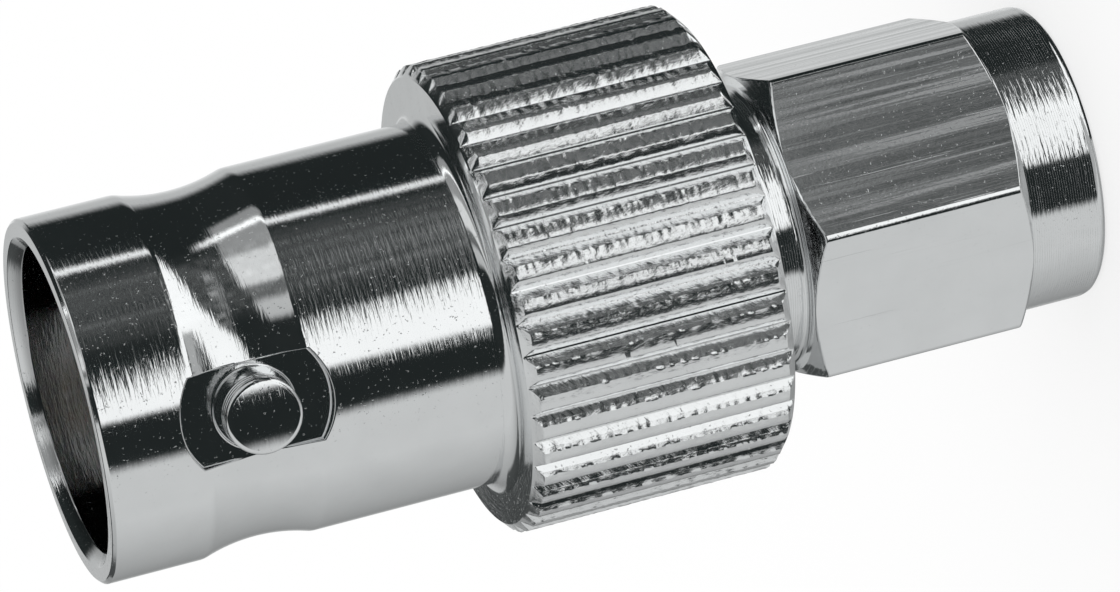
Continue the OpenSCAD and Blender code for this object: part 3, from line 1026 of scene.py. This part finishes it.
def plug_corners():
    """Sleeve, gasket seat, neck with its groove, and spigot."""
    return [
        (PLUG_BORE_R, PLUG_Z, TURN_EDGE),
        (SLEEVE_R - SLEEVE_EDGE, PLUG_Z, 0.02),
        (SLEEVE_R, PLUG_Z + SLEEVE_EDGE, 0.04),
        (SLEEVE_R, SLEEVE_TOP, TURN_EDGE),
        (GASKET_SEAT_R, SLEEVE_TOP, TURN_EDGE),
        (GASKET_SEAT_R, NECK_Z, TURN_EDGE),
        (NECK_R, NECK_Z, 0.05),
        (NECK_R, NECK_GROOVE[0], TURN_EDGE),
        (NECK_GROOVE_R, NECK_GROOVE[0], TURN_EDGE),
        (NECK_GROOVE_R, NECK_GROOVE[1], TURN_EDGE),
        (NECK_R, NECK_GROOVE[1], TURN_EDGE),
        (NECK_R, COLLAR_Z, TURN_EDGE),
        (SPIGOT_R, COLLAR_Z, TURN_EDGE),
        (SPIGOT_R, STACK_Z, 0.05),
        (FLANGE_BORE_R, STACK_Z, 0.05),
        (FLANGE_BORE_R, FLANGE_Z, TURN_EDGE),
        (PLUG_BORE_R, FLANGE_Z, TURN_EDGE),
    ]


def jack_insulator_corners():
    """Nose round the socket and flange behind the web."""
    hole, seat, flange, nose = 1.1, 1.45, 3.37, 2.35
    return [
        (seat, STACK_Z, 0.04),
        (flange, STACK_Z, 0.06),
        (flange, WEB_Z, 0.06),
        (nose, WEB_Z, 0.04),
        (nose, NOSE_Z, 0.1),
        (hole, NOSE_Z, 0.08),
        (hole, STOP_TOP, 0.04),
        (seat, STOP_TOP, 0.04),
    ]


def plug_insulator_corners():
    """Front flush with the sleeve, and a flange behind."""
    hole, front, flange = 0.685, 2.04, 2.4
    return [
        (hole, PLUG_Z, 0.05),
        (front, PLUG_Z, 0.06),
        (front, FLANGE_Z, 0.04),
        (flange, FLANGE_Z, 0.06),
        (flange, STACK_Z, 0.06),
        (hole, STACK_Z, 0.04),
    ]


def contact_corners():
    """Pin, rod, stop collar and the closed part of the socket."""
    return [
        (0.0, PIN_Z, None),
        (PIN_TIP_R, PIN_Z, 0.1),
        (PIN_R, PIN_Z + PIN_TIP_LEN, 0.3),
        (PIN_R, PLUG_Z, 0.02),
        (ROD_R, PLUG_Z, 0.03),
        (ROD_R, STACK_Z, 0.03),
        (STOP_R, STACK_Z, 0.05),
        (STOP_R, STOP_TOP, 0.05),
        (SOCKET_R, STOP_TOP, 0.03),
        (SOCKET_R, SLOT_Z, 0.01),
        (SOCKET_BORE_R, SLOT_Z, 0.01),
        (SOCKET_BORE_R, SOCKET_BORE_Z, 0.05),
        (0.0, SOCKET_BORE_Z, None),
    ]


def spring_tongue():
    """One of the socket's four tongues, between two slots, with a broken edge at its end."""
    lead = 0.1
    levels = (
        (SLOT_Z - 0.05, 0.0),
        (SOCKET_Z - lead, 0.0),
        (SOCKET_Z - lead * 0.3, lead * 0.3),
        (SOCKET_Z, lead),
    )
    loops = []
    for height, inset in levels:
        loop = []
        for radius, way in ((SOCKET_R - inset * 0.6, 1), (SOCKET_BORE_R + inset, -1)):
            spread = math.pi / 4 - math.asin(SLOT_HALF / radius)
            for share in np.linspace(-way, way, TONGUE_POINTS):
                turn = math.pi / 4 + spread * share
                loop.append((radius * math.cos(turn), radius * math.sin(turn), height))
        loops.append(loop)
    work = bmesh.new()
    rings = [[work.verts.new(Vector(spot) * MM) for spot in loop] for loop in loops]
    for low, high in zip(rings, rings[1:]):
        for i in range(len(low)):
            j = (i + 1) % len(low)
            work.faces.new((low[i], low[j], high[j], high[i]))
    for ring in (rings[0][::-1], rings[-1]):
        for i in range(TONGUE_POINTS - 1):
            work.faces.new((ring[i], ring[i + 1], ring[-2 - i], ring[-1 - i]))
    made = bpy.data.meshes.new("spring_tongue")
    work.to_mesh(made)
    work.free()
    return made


def contact_mesh(ring, gold):
    """Pin, rod and socket with its four spring tongues."""
    skin = Skin()
    skin.grid(*turned(contact_corners(), round_turn(CONTACT_SIDES), closed=False), closed=False)
    values = {"Count": TONGUES, "Tear": 0.0, "Tear length": MM, "Material": gold}
    skin.take(grown(spring_tongue(), ring, values))
    return skin.mesh("contact_mesh")


def gasket_corners():
    """A soft ring between its seat and the nut."""
    inside, outside, soft = 2.52, 3.05, 0.16
    return [
        (inside, GASKET_Z, soft),
        (outside, GASKET_Z, soft),
        (outside, NECK_Z, soft),
        (inside, NECK_Z, soft),
    ]


def piece(name, mesh, material, body, node):
    """A finished piece that stands for one CAD node."""
    mesh.materials.clear()
    mesh.materials.append(material)
    made = bpy.data.objects.new(name, mesh)
    bpy.context.scene.collection.objects.link(made)
    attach(made, body)
    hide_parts(node)


def make_pieces():
    """Every piece, with the ring wire as the frame gives it."""
    ring = ring_tree()
    knurled = bright_nickel("knurled_nickel", milled=False)
    milled = bright_nickel("milled_nickel", milled=True)
    gold = gold_plate()
    white = white_insulator()
    plug = turned_mesh("plug_mesh", plug_corners())
    jack_white = turned_mesh("nose_mesh", jack_insulator_corners())
    plug_white = turned_mesh("front_mesh", plug_insulator_corners())
    seal = turned_mesh("seal_mesh", gasket_corners())
    piece("knurled_jack", jack_mesh(ring, knurled), knurled, "body", "jack_body")
    piece("hex_nut", nut_mesh(milled), milled, "nut", "coupling_nut")
    piece("turned_plug", plug, milled, "body", "plug_body")
    piece("nose_insulator", jack_white, white, "body", "jack_insulator")
    piece("front_insulator", plug_white, white, "body", "plug_insulator")
    piece("slotted_contact", contact_mesh(ring, gold), gold, "body", "centre_contact")
    piece("seal_ring", seal, silicone(), "body", "gasket")
    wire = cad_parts["retaining_ring"]
    wire.data.materials.clear()
    wire.data.materials.append(spring_bronze())


def make_floor():
    """A white floor that keeps a soft shadow and isn't mirrored, so that the metal shows the studio."""
    half = FLOOR_HALF * MM
    mesh = bpy.data.meshes.new("floor_mesh")
    corners = [(-half, -half, 0), (half, -half, 0), (half, half, 0), (-half, half, 0)]
    mesh.from_pydata(corners, [], [(0, 1, 2, 3)])
    floor = bpy.data.objects.new("floor", mesh)
    bpy.context.scene.collection.objects.link(floor)
    floor.location.z = cad_box[0].z - FLOOR_GAP * MM
    floor.visible_glossy = False
    made, g = blank_material("white_floor")
    lit = g.node("ShaderNodeBsdfDiffuse", sockets={"Color": (1, 1, 1, 1)})
    glow = g.node("ShaderNodeEmission", sockets={"Color": (1, 1, 1, 1), "Strength": 1.0})
    seen = g.node("ShaderNodeLightPath", out="Is Camera Ray") * FLOOR_GLOW
    both = g.node("ShaderNodeMixShader", sockets={0: seen, 1: lit, 2: glow})
    g.node("ShaderNodeOutputMaterial", sockets={"Surface": both})
    mesh.materials.append(made)


def studio_way(g):
    """Azimuth from the camera and height over the horizon of the way a ray looks, in degrees."""
    way = g.node("ShaderNodeSeparateXYZ", sockets={0: g.node("ShaderNodeTexCoord", out="Generated")})
    x, y, z = (way.out(axis) for axis in "XYZ")
    ahead = x * math.cos(CAMERA_TURN) + y * math.sin(CAMERA_TURN)
    aside = x * math.sin(CAMERA_TURN) - y * math.cos(CAMERA_TURN)
    azimuth = g.math("ARCTAN2", aside, ahead) * math.degrees(1)
    height = g.math("ARCSINE", g.least(g.most(z, -1.0), 1.0)) * math.degrees(1)
    return azimuth, height


def key_panel(g, azimuth, height):
    """The brightest panel, whose sides lean by height, with a dim one low down beside it."""
    bright, dim, soft = 1.05, 0.42, 2.5
    knurl_rows = g.smooth(height, -16.6, -15.9) * g.fall(height, -14.4, -13.8)
    start = g.most(height + 12.9, 0.0) * 4.0 + g.least(height + 12.9, 0.0) * 1.2 - 12.0
    start = start + g.least(height + 20.0, 0.0) * 0.9 + g.least(height + 30.0, 0.0) * 4.5
    end = g.most(g.least(height + 15.8, 0.0) * 2.5 + 20.0, 9.0) + knurl_rows * 6.0
    end = g.most(end + g.least(height + 31.0, 0.0) * 4.4, -25.0)
    before_end = g.fall(azimuth - end, -soft, soft)
    panel = g.smooth(azimuth - start, -soft, soft) * before_end * g.smooth(azimuth, -112.0, -100.0)
    beside = (1.0 - before_end) * g.fall(height, -41.0, -37.0) * g.fall(azimuth, 100.0, 115.0)
    return g.most(panel * bright, beside * dim)


def fill_panel(g, azimuth, height):
    """A broad grey panel that fades away from the camera and ends over the collar's face."""
    bright, fading, gone = 0.62, 0.0048, 0.85
    panel = g.band(azimuth, 50.0, 200.0, 4.0) * (bright - g.most(azimuth - 88.0, 0.0) * fading)
    return panel * (1.0 - g.smooth(azimuth, 134.0, 146.0) * g.smooth(height, 10.5, 12.5) * gone)


def light_line(g, azimuth, height):
    """A thin, wavering upright line of light."""
    waver = noise(g, g.vector(height * 2.2)) * 12.0 - 6.0
    across = g.math("ABSOLUTE", azimuth + waver + (height + SHELL_DIP) * 0.2 + 82.0)
    return g.fall(across, 0.8, 3.6) * g.smooth(height, -21.0, -11.0)


def bench_light(g, azimuth, height):
    """Dim light in front: even for the knurl, in slats for the nut's flats, and mottled for both."""
    even = g.band(azimuth, -54.0, -14.0, 5.0) * 0.16
    even = even * g.smooth(height, -16.0, -15.6) * g.fall(height, -13.9, -13.2)
    slats = g.smooth(noise(g, g.vector(azimuth / 6.0)), 0.45, 0.55)
    slats = slats * g.band(azimuth, -62.0, -22.0, 4.0) * 0.25
    slats = slats * g.smooth(height, -21.0, -19.5) * g.fall(height, -16.2, -15.8)
    mottle = g.smooth(noise(g, g.vector(azimuth / 6.0, height / 0.9)), 0.4, 0.75)
    mottle = mottle * g.band(azimuth, -72.0, -30.0, 10.0) * 0.22
    return even + slats + mottle


def back_light(g, azimuth, height):
    """Light from behind the adapter, lower on one side."""
    leaning = azimuth + g.most(height + SHELL_DIP, 0.0) * 0.3
    wall = g.fall(leaning, -148.0, -134.0) * 0.5
    wall = wall + g.fall(azimuth, -176.0, -152.0) * g.fall(height, -4.0, 6.0) * 0.28
    other_side = g.smooth(azimuth, 160.0, 178.0) * g.fall(height, 10.5, 12.5) * 0.32
    return wall * g.smooth(height, -34.0, -24.0) + other_side


def window_light(g, azimuth, height):
    """Upright panes over a sill that rises to both sides."""
    level = height + SHELL_DIP
    jamb = g.smooth(azimuth + g.least(level, 92.0 - level) * 0.3, -94.0, -90.0)
    panes = g.band(azimuth, -170.0, -17.0, 2.0) * 0.08 + g.band(azimuth, -170.0, -65.0, 2.0) * 0.2
    panes = panes * jamb + g.band(azimuth, -65.0, -42.0, 2.5) * 0.58
    panes = panes + g.band(azimuth, -31.0, -18.0, 3.0) * 0.42
    sill = (azimuth + 91.0) * (azimuth + 91.0) * 0.0031 - 8.0
    return panes * g.smooth(height - sill, -1.5, 1.5)


def make_world():
    """A white room; the metal mirrors a dark studio with light panels, by azimuth and height."""
    world = bpy.data.worlds.new("studio")
    world.use_nodes = True
    bpy.context.scene.world = world
    g = Graph(world.node_tree)
    azimuth, height = studio_way(g)
    tone = g.most(key_panel(g, azimuth, height), fill_panel(g, azimuth, height)) + STUDIO_DARK
    for light in (light_line, bench_light, back_light, window_light):
        tone = tone + light(g, azimuth, height)
    mirrored = g.node("ShaderNodeLightPath", out="Is Glossy Ray")
    cool = g.most(tone * 0.99 - 0.004, 0.0)
    red, rest = (value * mirrored + (1.0 - mirrored) for value in (cool, tone))
    colour = g.node("ShaderNodeCombineColor", sockets={0: red, 1: rest, 2: rest})
    shade = g.node("ShaderNodeBackground", sockets={"Color": colour, "Strength": 1.0})
    g.node("ShaderNodeOutputWorld", sockets={"Surface": shade})


def make_camera():
    """A camera that looks at the axis from above, rolled so that the adapter lies across the picture."""
    data = bpy.data.cameras.new("camera")
    data.lens = CAMERA_LENS
    data.sensor_width = 36.0
    data.clip_start, data.clip_end = 0.01, 5.0
    camera = bpy.data.objects.new("camera", data)
    bpy.context.scene.collection.objects.link(camera)
    look = (CAMERA_AIM - CAMERA_PLACE).to_track_quat("-Z", "Y").to_matrix().to_4x4()
    camera.matrix_world = Matrix.Translation(CAMERA_PLACE) @ look @ Matrix.Rotation(CAMERA_ROLL, 4, "Z")
    bpy.context.scene.camera = camera


make_pieces()
make_floor()
make_world()
make_camera()
bpy.context.scene.view_settings.view_transform = "Standard"
